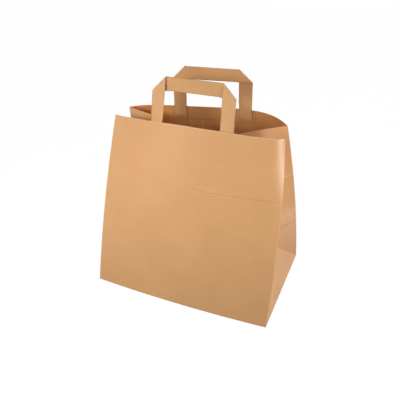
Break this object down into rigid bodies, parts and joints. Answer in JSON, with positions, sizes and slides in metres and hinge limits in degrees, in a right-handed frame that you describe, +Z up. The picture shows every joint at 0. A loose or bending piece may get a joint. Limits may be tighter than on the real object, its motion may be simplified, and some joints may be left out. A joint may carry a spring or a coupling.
{
  "type": "paper carrier bag",
  "caption": "Brown kraft paper carrier bag, standing open, with a block bottom, pushed-in side gussets and flat folded paper handles glued inside the rim.",
  "frame": {"origin": "on the floor at the middle of the base", "axes": "+Z up, -Y towards the plain front panel, +Y towards the panel with the glued seam, +X to the right when looking at the front"},
  "size_m": [0.26, 0.1781, 0.3028],
  "materials": {
    "kraft_paper": "matt uncoated",
    "kraft_tape": "matt uncoated, folded in several layers"
  },
  "bodies": {
    "root": {"bag_body": "kraft_paper", "front_backing_strip": "kraft_paper", "rear_backing_strip": "kraft_paper", "front_handle": "kraft_tape", "rear_handle": "kraft_tape"}
  },
  "joints": []
}
